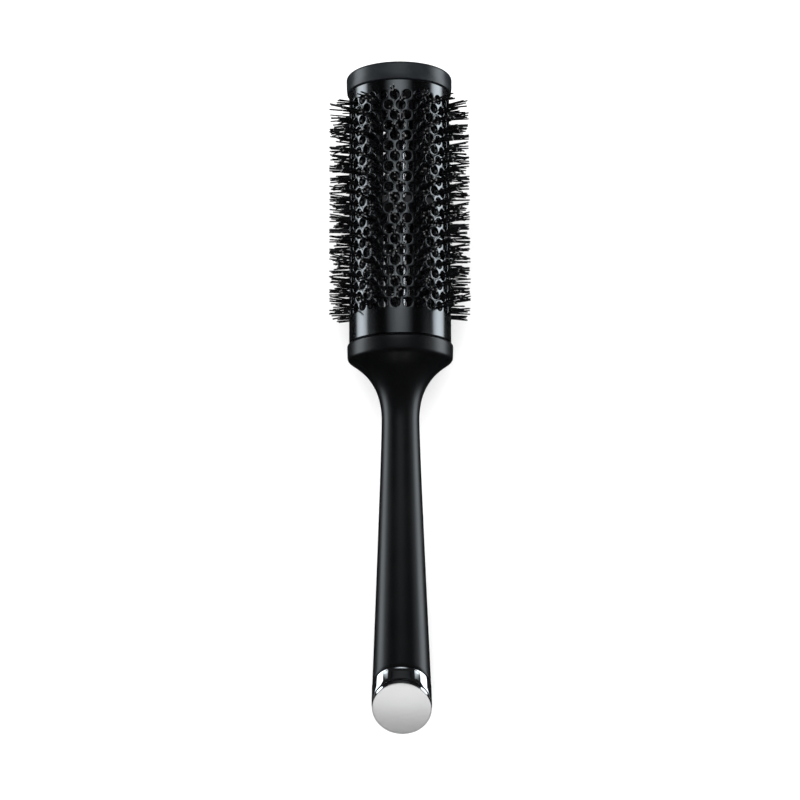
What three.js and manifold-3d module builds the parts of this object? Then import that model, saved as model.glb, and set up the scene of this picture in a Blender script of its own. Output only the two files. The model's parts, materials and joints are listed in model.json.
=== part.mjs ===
// Round barrel brush, lying on a table on its bristles and the tip of its handle.
// Built along its own axis (+Y towards the barrel's free end, +Z up) and then tilted to rest.
import * as THREE from 'three';
import { mergeVertices } from 'three/addons/utils/BufferGeometryUtils.js';
import Module from 'manifold-3d';

const wasm = await Module();
wasm.setup();

// Driving dimensions, in millimetres. Lengths along the axis count from the barrel's handle end.
const GAP = 0.3; // left between two pieces that touch
const BARREL_R = 22.5;
const BARREL_WALL = 0.9;
const BARREL_BORE_R = BARREL_R - BARREL_WALL;
const BARREL_LENGTH = 115;
const HOLES_ROUND = 13; // bristle holes in one ring of the barrel
const HOLE_RINGS = 21;
const HOLE_R = 2.25;
const HOLE_SIDES = 4;
const FIRST_RING_Y = 13.9;
const LAST_RING_Y = 108.1;
const RING_PITCH = (LAST_RING_Y - FIRST_RING_Y) / (HOLE_RINGS - 1);
const HOLE_ANGLE = (2 * Math.PI) / HOLES_ROUND;

const STRIPS = HOLES_ROUND;
const STRIP_ANGLE = HOLE_ANGLE;
const ZIGZAG_ANGLE = HOLE_ANGLE / 8; // how far a ring's holes stand to one side of their strip
const BRISTLE_R = 31.6;
const SPINE_BOTTOM_R = 17.6;
const SPINE_TOP_R = 20.9;
const SPINE_WIDTH = 5.2;
const SPINE_START_Y = 1.9;
const SPINE_END_Y = 113.2;
const TUFT_ROOT_R = 1.2;
const TUFT_TIP_R = 1.9;

const ROD_R = 2.5;
const ROD_BORE_R = ROD_R + GAP;
const ROD_START_Y = -60;
const ROD_END_Y = 122.2;
const HUB_R = 20.9; // clears the flats of the barrel's bore
const HUB_THICKNESS = 2.8;
const HUB_LIGHTENING_R = 3;
const HUB_LIGHTENING_CIRCLE_R = 10.5;
const HUB_LIGHTENING_COUNT = 6;
const HUB_STARTS_Y = { rear_hub: 2.2, middle_hub: 59.6, front_hub: 110.5 };

const CAP_START_Y = BARREL_LENGTH + GAP;
const CAP_END_Y = 123.3;
const CAP_R = 23.7;
const CAP_EDGE_R = 1.7;
const CAP_MOUTH_R = 16.4;
const LEDGE_R = 14.2;
const LEDGE_TOP_Y = 116.6;
const SPIGOT_INNER_R = 19.5;
const SPIGOT_START_Y = 113.8;
const GRILLE_START_Y = LEDGE_TOP_Y + GAP;
const GRILLE_THICKNESS = 1.5;
const GRILLE_SLOTS = 12;
const GRILLE_SLOT_INNER_R = 7;
const GRILLE_SLOT_OUTER_R = 13.4;
const GRILLE_SLOT_WIDTH = 2;
const WASHER_START_Y = GRILLE_START_Y + GRILLE_THICKNESS + GAP;
const WASHER_R = 5.2;
const WASHER_THICKNESS = 0.8;
const NUT_START_Y = WASHER_START_Y + WASHER_THICKNESS + GAP;
const NUT_R = 4.5;
const NUT_HEIGHT = 2.8;

const COLLAR_R = 23.35;
const COLLAR_LENGTH = 7;
const NECK_R = 8.28;
const NECK_Y = -33.9;
const GRIP_END_R = 12.95;
const GRIP_END_Y = -158;
const SLEEVE_WALL = 1.6;
const CORE_TOP_Y = -1.2;
const CORE_END_Y = -136;
const INSERT_R = 4.4;
const INSERT_TOP_Y = -18;
const FERRULE_JOINT_Y = -149.4; // where the slanted joint crosses the axis
const FERRULE_JOINT_SLANT = THREE.MathUtils.degToRad(28.5);
const BADGE_Y = -159.7; // where the slanted end face crosses the axis
const BADGE_SLANT = THREE.MathUtils.degToRad(38.3);
const BADGE_THICKNESS = 1.1;
const BADGE_R = GRIP_END_R - 0.2;
const BADGE_BACK_Y = BADGE_Y + BADGE_THICKNESS / Math.cos(BADGE_SLANT);
const BADGE_SEAT_Y = BADGE_BACK_Y + GAP / Math.cos(BADGE_SLANT);
const FERRULE_WALL = 1.1;
const PLUG_TOP_Y = CORE_END_Y - GAP;

const STRIP_FACET_SHARE = 0.72; // of the barrel's circumference, the flats that hold the bristle holes
const ROUND_SEGMENTS = 32;
const SMALL_SEGMENTS = 20;
const CUTTER_SIZE = 400;

const MATERIALS = {
  coated_metal: { color: 0x8f969a, roughness: 0.3, metalness: 0.9 },
  cap_plastic: { color: 0x3f4448, roughness: 0.35, metalness: 0.0 },
  soft_touch: { color: 0x0c0d0f, roughness: 0.45, metalness: 0.0 },
  bristle_nylon: { color: 0x0b0b0c, roughness: 0.5, metalness: 0.0 },
  inner_plastic: { color: 0x1c1d1f, roughness: 0.6, metalness: 0.0 },
  chrome: { color: 0xdfe2e4, roughness: 0.06, metalness: 1.0 },
  satin_metal: { color: 0xc4c6c8, roughness: 0.35, metalness: 0.9 },
  brass: { color: 0xb58b45, roughness: 0.35, metalness: 1.0 },
  steel: { color: 0xa7abae, roughness: 0.3, metalness: 1.0 },
};

// Solids: a three.js geometry becomes a manifold, is joined or cut, and comes back.
function toSolid(geometry) {
  const bare = geometry.clone();
  bare.deleteAttribute('normal');
  bare.deleteAttribute('uv');
  const merged = mergeVertices(bare, 1e-4);
  const vertProperties = new Float32Array(merged.attributes.position.array);
  const triVerts = new Uint32Array(merged.index.array);
  return new wasm.Manifold(new wasm.Mesh({ numProp: 3, vertProperties, triVerts }));
}

function toGeometry(solid) {
  const mesh = solid.getMesh();
  const geometry = new THREE.BufferGeometry();
  geometry.setAttribute('position', new THREE.BufferAttribute(mesh.vertProperties, 3));
  geometry.setIndex(new THREE.BufferAttribute(mesh.triVerts, 1));
  geometry.computeVertexNormals();
  return geometry;
}

function joinAll(solids) {
  return solids.reduce((whole, solid) => whole.add(solid));
}

function point(r, y) {
  return new THREE.Vector2(r, y);
}

// A solid of revolution about the brush's axis. Its faces point out when the outline runs up the outside.
function turned(outline, segments = ROUND_SEGMENTS) {
  const upward = THREE.ShapeUtils.isClockWise(outline) ? [...outline].reverse() : outline;
  return toSolid(new THREE.LatheGeometry([...upward, upward[0]], segments));
}

function ring(innerR, outerR, startY, endY, segments = ROUND_SEGMENTS) {
  const outline = [point(innerR, startY), point(outerR, startY), point(outerR, endY), point(innerR, endY)];
  return turned(outline, segments);
}

function rod(r, startY, endY, segments = SMALL_SEGMENTS) {
  const geometry = new THREE.CylinderGeometry(r, r, endY - startY, segments);
  return toSolid(geometry.translate(0, (startY + endY) / 2, 0));
}

// Everything on the barrel's side of a plane that crosses the axis at y and faces up past the tip.
function aboveSlant(y, slant) {
  const block = new THREE.BoxGeometry(CUTTER_SIZE, CUTTER_SIZE, CUTTER_SIZE);
  block.translate(0, CUTTER_SIZE / 2, 0).rotateX(-slant).translate(0, y, 0);
  return toSolid(block);
}

// The bristle holes over one strip zigzag from ring to ring.
function zigzag(ringIndex) {
  return ringIndex % 2 === 1 ? ZIGZAG_ANGLE : -ZIGZAG_ANGLE;
}

// The barrel's outline: a wide flat over each strip and a narrow one between two strips.
function barrelOutline(r) {
  const corners = [];
  for (let strip = 0; strip < STRIPS; strip += 1) {
    for (const side of [-0.5, 0.5]) {
      const angle = (strip + side * STRIP_FACET_SHARE) * STRIP_ANGLE;
      corners.push(new THREE.Vector2(r * Math.sin(angle), r * Math.cos(angle)));
    }
  }
  return corners.reverse();
}

function barrelTube() {
  const outline = new THREE.Shape(barrelOutline(BARREL_R));
  outline.holes.push(new THREE.Path(barrelOutline(BARREL_BORE_R)));
  const length = BARREL_LENGTH - GAP;
  const extruded = new THREE.ExtrudeGeometry(outline, { depth: length, bevelEnabled: false });
  const tube = toSolid(extruded.rotateX(Math.PI / 2).translate(0, BARREL_LENGTH, 0));
  const cutters = [];
  for (let ringIndex = 0; ringIndex < HOLE_RINGS; ringIndex += 1) {
    for (let hole = 0; hole < HOLES_ROUND; hole += 1) {
      const cutter = new THREE.CylinderGeometry(HOLE_R, HOLE_R, 4, HOLE_SIDES);
      cutter.rotateX(Math.PI / 2).translate(0, 0, BARREL_R);
      cutter.rotateY(hole * HOLE_ANGLE + zigzag(ringIndex));
      cutters.push(toSolid(cutter.translate(0, FIRST_RING_Y + ringIndex * RING_PITCH, 0)));
    }
  }
  return tube.subtract(wasm.Manifold.union(cutters));
}

function bristleStrip(strip) {
  const length = SPINE_END_Y - SPINE_START_Y;
  const height = SPINE_TOP_R - SPINE_BOTTOM_R;
  const spine = new THREE.BoxGeometry(SPINE_WIDTH, length, height);
  spine.translate(0, (SPINE_START_Y + SPINE_END_Y) / 2, (SPINE_TOP_R + SPINE_BOTTOM_R) / 2);
  const pieces = [toSolid(spine)];
  const rootDepth = 1; // how far each tuft is set into the spine
  const tuftLength = BRISTLE_R - SPINE_TOP_R + rootDepth;
  for (let ringIndex = 0; ringIndex < HOLE_RINGS; ringIndex += 1) {
    const tuft = new THREE.CylinderGeometry(TUFT_TIP_R, TUFT_ROOT_R, tuftLength, 4);
    tuft.rotateX(Math.PI / 2).translate(0, 0, BRISTLE_R - tuftLength / 2);
    tuft.rotateY(zigzag(ringIndex)).translate(0, FIRST_RING_Y + ringIndex * RING_PITCH, 0);
    pieces.push(toSolid(tuft));
  }
  return joinAll(pieces).rotate([0, THREE.MathUtils.radToDeg(strip * STRIP_ANGLE), 0]);
}

// A disc on the rod with an open slot for every strip and lightening holes for the air.
function hub(startY) {
  let disc = ring(ROD_BORE_R, HUB_R, startY, startY + HUB_THICKNESS, SMALL_SEGMENTS);
  const slotDepth = HUB_R + 2 - (SPINE_BOTTOM_R - GAP);
  for (let strip = 0; strip < STRIPS; strip += 1) {
    const slot = new THREE.BoxGeometry(SPINE_WIDTH + 2 * GAP, 3 * HUB_THICKNESS, slotDepth);
    slot.translate(0, startY, SPINE_BOTTOM_R - GAP + slotDepth / 2);
    disc = disc.subtract(toSolid(slot.rotateY(strip * STRIP_ANGLE)));
  }
  for (let hole = 0; hole < HUB_LIGHTENING_COUNT; hole += 1) {
    const angle = (hole * 2 * Math.PI) / HUB_LIGHTENING_COUNT;
    const cutter = new THREE.CylinderGeometry(HUB_LIGHTENING_R, HUB_LIGHTENING_R, 3 * HUB_THICKNESS, 8);
    cutter.translate(0, startY, HUB_LIGHTENING_CIRCLE_R).rotateY(angle);
    disc = disc.subtract(toSolid(cutter));
  }
  return disc;
}

function tieRod() {
  return rod(ROD_R, ROD_START_Y, ROD_END_Y);
}

function endCap() {
  const edge = [];
  for (let step = 0; step <= 5; step += 1) {
    const angle = (step / 5) * (Math.PI / 2);
    const r = CAP_R - CAP_EDGE_R + CAP_EDGE_R * Math.cos(angle);
    edge.push(point(r, CAP_END_Y - CAP_EDGE_R + CAP_EDGE_R * Math.sin(angle)));
  }
  return turned([
    point(LEDGE_R, CAP_START_Y),
    point(SPIGOT_INNER_R, CAP_START_Y),
    point(SPIGOT_INNER_R, SPIGOT_START_Y),
    point(HUB_R, SPIGOT_START_Y),
    point(HUB_R, CAP_START_Y),
    point(CAP_R - 0.5, CAP_START_Y),
    point(CAP_R - 0.2, CAP_START_Y + 0.4),
    ...edge,
    point(CAP_MOUTH_R + 0.6, CAP_END_Y),
    point(CAP_MOUTH_R, CAP_END_Y - 0.6),
    point(CAP_MOUTH_R, LEDGE_TOP_Y),
    point(LEDGE_R, LEDGE_TOP_Y),
  ]);
}

function endGrille() {
  let disc = ring(ROD_BORE_R, CAP_MOUTH_R - GAP, GRILLE_START_Y, GRILLE_START_Y + GRILLE_THICKNESS);
  const slotLength = GRILLE_SLOT_OUTER_R - GRILLE_SLOT_INNER_R;
  for (let slot = 0; slot < GRILLE_SLOTS; slot += 1) {
    const vent = new THREE.BoxGeometry(GRILLE_SLOT_WIDTH, 3 * GRILLE_THICKNESS, slotLength);
    vent.translate(0, GRILLE_START_Y, GRILLE_SLOT_INNER_R + slotLength / 2);
    disc = disc.subtract(toSolid(vent.rotateY((slot * 2 * Math.PI) / GRILLE_SLOTS)));
  }
  return disc;
}

function rodWasher() {
  return ring(ROD_BORE_R, WASHER_R, WASHER_START_Y, WASHER_START_Y + WASHER_THICKNESS, SMALL_SEGMENTS);
}

function endNut() {
  const hexagon = rod(NUT_R, NUT_START_Y, NUT_START_Y + NUT_HEIGHT, 6);
  return hexagon.subtract(rod(ROD_BORE_R, NUT_START_Y - 1, NUT_START_Y + NUT_HEIGHT + 1));
}

function heatWasher() {
  return ring(ROD_BORE_R, HUB_R, CORE_TOP_Y + GAP, HUB_STARTS_Y.rear_hub - GAP);
}

// The handle's outline below the collar: a flare in to the neck, then a long swell to the tip.
function handleCurve(inset, steps) {
  const flare = new THREE.CubicBezierCurve(
    point(COLLAR_R - 0.45 - inset, -COLLAR_LENGTH - 0.3),
    point(COLLAR_R - 1.4 - inset, -COLLAR_LENGTH - 2.4),
    point(NECK_R - inset, NECK_Y + 20),
    point(NECK_R - inset, NECK_Y),
  );
  const grip = new THREE.CubicBezierCurve(
    point(NECK_R - inset, NECK_Y),
    point(NECK_R - inset, NECK_Y - 12),
    point(GRIP_END_R - 1.65 - inset, GRIP_END_Y + 41),
    point(GRIP_END_R - inset, GRIP_END_Y),
  );
  return [...flare.getPoints(steps), ...grip.getPoints(steps).slice(1)];
}

function gripRadius(y) {
  const along = (y - NECK_Y) / (GRIP_END_Y - NECK_Y);
  return THREE.MathUtils.lerp(NECK_R, GRIP_END_R, along);
}

function collarEdge() {
  const edgeR = 1.5;
  const corners = [];
  for (let step = 0; step <= 4; step += 1) {
    const angle = (step / 4) * (Math.PI / 2);
    const r = COLLAR_R - edgeR + edgeR * Math.sin(angle);
    corners.push(point(r, edgeR * Math.cos(angle) - edgeR));
  }
  return corners;
}

function handleSleeve() {
  const outside = [...collarEdge(), point(COLLAR_R - 0.15, 0.5 - COLLAR_LENGTH), ...handleCurve(0, 9)];
  const shell = turned([
    point(HUB_R + GAP, 0),
    ...outside,
    point(GRIP_END_R - SLEEVE_WALL, GRIP_END_Y),
    ...handleCurve(SLEEVE_WALL, 6).reverse(),
    point(HUB_R + GAP, 1 - COLLAR_LENGTH),
  ]);
  return shell.intersect(aboveSlant(FERRULE_JOINT_Y + GAP, FERRULE_JOINT_SLANT));
}

function handleCore() {
  const inset = SLEEVE_WALL + GAP;
  const outline = handleCurve(inset, 6).filter((corner) => corner.y > CORE_END_Y);
  const lowest = outline[outline.length - 1];
  const body = turned([
    point(0, CORE_TOP_Y),
    point(HUB_R, CORE_TOP_Y),
    point(HUB_R, 1.4 - COLLAR_LENGTH),
    ...outline.slice(1),
    point(lowest.x, CORE_END_Y),
    point(0, CORE_END_Y),
  ], SMALL_SEGMENTS);
  const rodHole = rod(ROD_BORE_R, INSERT_TOP_Y - 1, 1);
  const insertHole = rod(INSERT_R + GAP, ROD_START_Y - 2, INSERT_TOP_Y + GAP);
  return body.subtract(rodHole).subtract(insertHole);
}

function threadedInsert() {
  return ring(ROD_BORE_R, INSERT_R, ROD_START_Y, INSERT_TOP_Y, SMALL_SEGMENTS);
}

function tipFerrule() {
  const topY = FERRULE_JOINT_Y + 12;
  const bottomY = BADGE_Y - 14;
  const shell = ring(GRIP_END_R - FERRULE_WALL, GRIP_END_R, bottomY, topY);
  const beyondJoint = aboveSlant(FERRULE_JOINT_Y, FERRULE_JOINT_SLANT);
  return shell.subtract(beyondJoint).intersect(aboveSlant(BADGE_SEAT_Y, BADGE_SLANT));
}

function tipPlug() {
  const wideR = GRIP_END_R - FERRULE_WALL - GAP;
  const narrowR = gripRadius(PLUG_TOP_Y) - SLEEVE_WALL - 2 * GAP;
  const shoulderY = FERRULE_JOINT_Y - GRIP_END_R * Math.tan(FERRULE_JOINT_SLANT) - 0.5;
  const body = turned([
    point(0, BADGE_Y - 14),
    point(wideR, BADGE_Y - 14),
    point(wideR, shoulderY),
    point(narrowR, shoulderY),
    point(narrowR, PLUG_TOP_Y),
    point(0, PLUG_TOP_Y),
  ]);
  return body.intersect(aboveSlant(BADGE_SEAT_Y, BADGE_SLANT));
}

function badgeDisc() {
  const body = rod(BADGE_R, BADGE_Y - 14, BADGE_Y + 14, ROUND_SEGMENTS);
  return body.intersect(aboveSlant(BADGE_Y, BADGE_SLANT)).subtract(aboveSlant(BADGE_BACK_Y, BADGE_SLANT));
}

function addPiece(group, name, solid, material) {
  const mesh = new THREE.Mesh(toGeometry(solid), new THREE.MeshStandardMaterial(MATERIALS[material]));
  mesh.name = name;
  group.add(mesh);
}

function buildBrush() {
  const brush = new THREE.Group();
  addPiece(brush, 'barrel_tube', barrelTube(), 'coated_metal');
  for (let strip = 0; strip < STRIPS; strip += 1) {
    const number = String(strip + 1).padStart(2, '0');
    addPiece(brush, `bristle_strip_${number}`, bristleStrip(strip), 'bristle_nylon');
  }
  for (const [name, startY] of Object.entries(HUB_STARTS_Y)) {
    addPiece(brush, name, hub(startY), 'inner_plastic');
  }
  addPiece(brush, 'tie_rod', tieRod(), 'steel');
  addPiece(brush, 'end_cap', endCap(), 'cap_plastic');
  addPiece(brush, 'end_grille', endGrille(), 'inner_plastic');
  addPiece(brush, 'rod_washer', rodWasher(), 'steel');
  addPiece(brush, 'end_nut', endNut(), 'steel');
  addPiece(brush, 'heat_washer', heatWasher(), 'inner_plastic');
  addPiece(brush, 'handle_sleeve', handleSleeve(), 'soft_touch');
  addPiece(brush, 'handle_core', handleCore(), 'inner_plastic');
  addPiece(brush, 'threaded_insert', threadedInsert(), 'brass');
  addPiece(brush, 'tip_ferrule', tipFerrule(), 'chrome');
  addPiece(brush, 'tip_plug', tipPlug(), 'inner_plastic');
  addPiece(brush, 'badge_disc', badgeDisc(), 'satin_metal');
  return brush;
}

// Laid down: tilted until the lowest bristles and the ferrule's tip stand at one height.
function layDown(brush) {
  const bristleDrop = BRISTLE_R * Math.cos(STRIP_ANGLE / 2 - ZIGZAG_ANGLE);
  const tipY = BADGE_Y - BADGE_R * Math.tan(BADGE_SLANT);
  const tilt = Math.atan2(bristleDrop - BADGE_R, FIRST_RING_Y - tipY);
  brush.rotation.x = tilt;
  const box = new THREE.Box3().setFromObject(brush, true);
  const centre = box.getCenter(new THREE.Vector3());
  brush.position.set(-centre.x, -centre.y, -box.min.z);
  const part = new THREE.Group();
  part.add(brush);
  return part;
}

export default layDown(buildBrush());
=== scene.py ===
"""The looks of the round barrel brush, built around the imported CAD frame."""

import json
import math
import random

import bmesh
import bpy
from mathutils import Matrix, Vector


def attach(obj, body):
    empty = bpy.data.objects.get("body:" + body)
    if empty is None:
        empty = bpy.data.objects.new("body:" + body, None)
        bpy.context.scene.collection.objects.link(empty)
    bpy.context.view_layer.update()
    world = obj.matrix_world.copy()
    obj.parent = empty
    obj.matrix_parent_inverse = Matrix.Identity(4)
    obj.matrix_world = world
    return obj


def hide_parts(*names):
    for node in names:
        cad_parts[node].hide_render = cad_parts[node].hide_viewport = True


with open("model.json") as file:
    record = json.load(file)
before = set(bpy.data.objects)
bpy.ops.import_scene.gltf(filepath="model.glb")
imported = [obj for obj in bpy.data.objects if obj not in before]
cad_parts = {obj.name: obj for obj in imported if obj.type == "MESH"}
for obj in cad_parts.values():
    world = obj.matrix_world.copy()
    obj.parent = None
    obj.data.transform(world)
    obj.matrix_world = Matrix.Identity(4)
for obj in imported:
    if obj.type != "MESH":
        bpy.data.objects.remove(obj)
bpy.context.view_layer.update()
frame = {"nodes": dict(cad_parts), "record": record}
mounts = {mount["name"]: mount for mount in frame["record"]["mounts"]}

MM = 0.001

# Sizes along the brush's own axis, in millimetres: 0 is where the barrel meets the handle.
BARREL_R = 22.5
BARREL_WALL = 0.9
BARREL_START_Y = 0.3
BARREL_END_Y = 115.0
HOLES_ROUND = 26
HOLE_RINGS = 21
HOLE_R = 2.05
RIM_R = 2.42  # where the rounded edge of a hole runs out into the barrel
RIM_DEPTH = 0.34
RIM_STEPS = 4
INNER_RIMS = ((HOLE_R + 0.12, 0.0), (HOLE_R, 0.1))  # radius and depth inside the barrel
BARREL_EDGE = 0.25
FIRST_RING_Y = 13.9
LAST_RING_Y = 108.1
RING_PITCH = (LAST_RING_Y - FIRST_RING_Y) / (HOLE_RINGS - 1)
HOLE_ANGLE = 2 * math.pi / HOLES_ROUND
CELL_STEPS = 6  # mesh steps along each side of the cell round a hole

STRIPS = 13
STRIP_ANGLE = 2 * math.pi / STRIPS
ZIGZAG_ANGLE = HOLE_ANGLE / 4
BRISTLE_R = 31.45
SPINE_BOTTOM_R = 17.6
SPINE_TOP_R = 20.9
SPINE_WIDTH = 4.2
SPINE_START_Y = 1.9
SPINE_END_Y = 113.2
SPINE_EDGE_R = 0.6
FILAMENTS = 5
FILAMENT_R = 0.38
FILAMENT_SIDES = 6
# Share of the length and share of the radius: straight, then a little thinner to the cut end.
FILAMENT_SHAPE = ((0.0, 1.0), (0.35, 1.0), (0.7, 0.96), (0.97, 0.9), (1.0, 0.72))
FILAMENT_BOW = 0.05
ROOT_DEPTH = 0.4  # how deep a filament stands in its spine
TUFT_R = 0.62
TUFT_LEAN_SIDE = 0.45
TUFT_LEAN_ALONG = 0.7
TUFT_SPLAY = (0.1, 1.2)
TIP_SPREAD_SIDE = 0.3
TIP_SPREAD_ALONG = 0.35
LEAST_CUT = 0.1
MOST_CUT = 1.2
TURN_SPREAD = 0.3
THICKNESS_SPREAD = (0.9, 1.12)
FIRST_SEED = 100
FLOOR_GAP = 0.1
DOWNWARD = 0.1  # a filament that points down by less than this can't reach the floor

CAP_START_Y = 115.3
CAP_END_Y = 123.3
CAP_TOP_Y = CAP_END_Y - 0.03
CAP_R = 23.7
CAP_EDGE_R = 1.7
CAP_FOOT_INSET = 0.35
FOOT_EDGE_R = 0.3
CAP_TAPER = 3.0
CAP_MOUTH_R = 16.4
MOUTH_EDGE_R = 0.6
LEDGE_R = 14.2
LEDGE_TOP_Y = 116.6
SPIGOT_R = 20.9
SPIGOT_INNER_R = 19.5
SPIGOT_START_Y = 113.8
GRILLE_START_Y = 116.9
GRILLE_END_Y = 118.4
GRILLE_R = 16.1
GRILLE_SLOTS = 12
ROD_R = 2.5
ROD_BORE_R = 2.8
GRILLE_RADII = (ROD_BORE_R, 5.6, 7.0, 8.6, 10.2, 11.8, 13.4, 14.8, GRILLE_R)
FIRST_OPEN, LAST_OPEN = 2, 5  # the slots cross the bands that start at these rows of it
SLOT_HALF_WIDTH = 1.0
WIDEST_SLOT = 0.2  # half its width over the radius, so that the inner lines don't cross
SPOKE_STEPS = 4  # mesh steps from one slot to the next
LINES_PER_SLOT = SPOKE_STEPS + 1
ROD_START_Y = -60.0
ROD_END_Y = 122.2
THREAD_START_Y = 112.0
ROD_CHAMFER = 0.4
ROD_TIP = ((0.3, 0.3), (0.7, 0.0))  # how far inside ROD_R, and how far before ROD_END_Y
ROD_STEPS = 40
THREAD_PITCH = 0.8
THREAD_DEPTH = 0.4
THREAD_RUN_IN = 0.3
THREAD_LAST_Y = ROD_END_Y - 0.5
ROWS_PER_THREAD = 6
WASHER_R = 5.2
WASHER_START_Y = 118.7
WASHER_END_Y = 119.5
NUT_R = 4.5
NUT_START_Y = 119.8
NUT_END_Y = 122.6
NUT_CHAMFER = 0.3
NUT_SIDE_INSET = 0.02
NUT_FACE_INSET = 0.1
NUT_CUT_DEPTH = 0.08  # where the turned cone meets the middle of a flat side
NUT_CUT_SLOPE = 0.6
NUT_STEPS = 72
SMALL_EDGE = 0.12

COLLAR_R = 23.35
COLLAR_LENGTH = 7.0
NECK_R = 8.28
NECK_Y = -33.9
GRIP_END_R = 12.95
GRIP_END_Y = -158.0
# The corners of two Bezier curves, as radius and y: the flare and the grip below the neck.
FLARE = (
    (COLLAR_R - 0.45, -COLLAR_LENGTH - 0.3), (COLLAR_R - 1.4, -COLLAR_LENGTH - 2.4),
    (NECK_R, NECK_Y + 20), (NECK_R, NECK_Y),
)
GRIP = (
    (NECK_R, NECK_Y), (NECK_R, NECK_Y - 12),
    (GRIP_END_R - 1.65, GRIP_END_Y + 41), (GRIP_END_R, GRIP_END_Y),
)
OUTLINE_STEPS = 40
COLLAR_EDGE_R = 1.5
# How far the collar's side draws in, and where.
COLLAR_SIDE = ((0.03, -3.0), (0.08, -4.8), (0.14, -6.2), (0.2, -6.7), (0.32, -7.05))
COLLAR_BORE_R = 21.2
COLLAR_BORE_END_Y = -6.0
SLEEVE_WALL = 1.6
SLEEVE_BEND_Y = -100.0  # from here down, the sleeve's rings lean into the slanted joint
SLEEVE_END_R = GRIP_END_R * 0.97
SLEEVE_ROWS = 24
# Round the sleeve's end: the share of the way to the joint, and how far inside the outline.
SLEEVE_END = ((0.993, 0.0), (0.998, 0.1), (1.0, 0.35), (1.0, SLEEVE_WALL), (0.0, SLEEVE_WALL))
FERRULE_JOINT_Y = -149.4
FERRULE_JOINT_SLANT = math.radians(28.5)
BADGE_Y = -159.7
BADGE_SLANT = math.radians(38.3)
BADGE_R = 12.75
BADGE_THICKNESS = 1.1
BADGE_DOME = 0.35
BADGE_EDGE = 0.25
BADGE_EDGE_STEPS = 4
BADGE_SIDE_LIFT = 0.55  # of the loop on the disc's side, over the disc's plane
POLISHED_BANDS = 4  # from the back, over the disc's side and half of its rounded edge
BADGE_SHARES = (0.93, 0.85, 0.75, 0.6, 0.4, 0.2, 0.03)  # of its radius, over the domed face
FERRULE_WALL = 1.1
# The ferrule's rows at either end: how far inside GRIP_END_R, and the lift over the joint's
# plane or over the disc's seat.
FERRULE_JOINT_ROWS = (
    (FERRULE_WALL, 0.0), (0.65, 0.0), (0.45, -0.08), (0.3, -0.3), (0.24, -0.7), (0.2, -2.0),
)
FERRULE_SEAT_ROWS = (
    (0.05, 1.5), (0.03, 0.3), (0.1, 0.1), (0.3, 0.0), (0.95, 0.0), (FERRULE_WALL, 0.15),
)
GAP = 0.3  # between neighbouring pieces

ROUND = 128  # mesh steps round a turned piece
CORNER_STEPS = 3  # mesh steps round a small rounded corner
LONGEST_CORNER = 0.45  # the share of a side that its rounded corner may take
EDGE_STEPS = 8  # mesh steps round a large rounded edge
BEVEL_ANGLE = math.radians(40)  # edges sharper than this are bevelled

# The camera, measured from the brush: distances in millimetres, angles in degrees.
CAMERA_DISTANCE = 975.0
CAMERA_Y = -220.5
CAMERA_X = -0.2
CAMERA_PITCH = math.radians(11.345)
CAMERA_ROLL = math.radians(0.25)
CAMERA_TURN = math.radians(180 / HOLES_ROUND / 4)
CAMERA_LENS = 102.04

# Where the patterns' colours and values change over: the middle of a noise texture's range.
NOISE_LOW, NOISE_HIGH = 0.3, 0.7


def brush_matrix():
    """The brush's own axes in the row frame: Y along the barrel, from the mount on the end cap."""
    along = Vector(mounts["end_cap_face"]["axis"]).normalized()
    origin = Vector(mounts["end_cap_face"]["pos_m"])
    across = Vector((1, 0, 0))
    up = across.cross(along)
    # The mount stands in the middle of the cap's flat face: back to the axis, then down it.
    face_off_axis = (CAP_MOUTH_R + MOUTH_EDGE_R + CAP_R - CAP_EDGE_R) / 2 * MM
    origin = origin - along * CAP_END_Y * MM - up * face_off_axis
    matrix = Matrix((across, along, up)).transposed().to_4x4()
    matrix.translation = origin
    return matrix


BRUSH = brush_matrix()


def around(r, y, angle):
    """A point at radius r from the axis, angle counted from up towards +X, in metres."""
    return Vector((r * math.sin(angle), y, r * math.cos(angle))) * MM


# ---------------------------------------------------------------- node helpers


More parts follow.
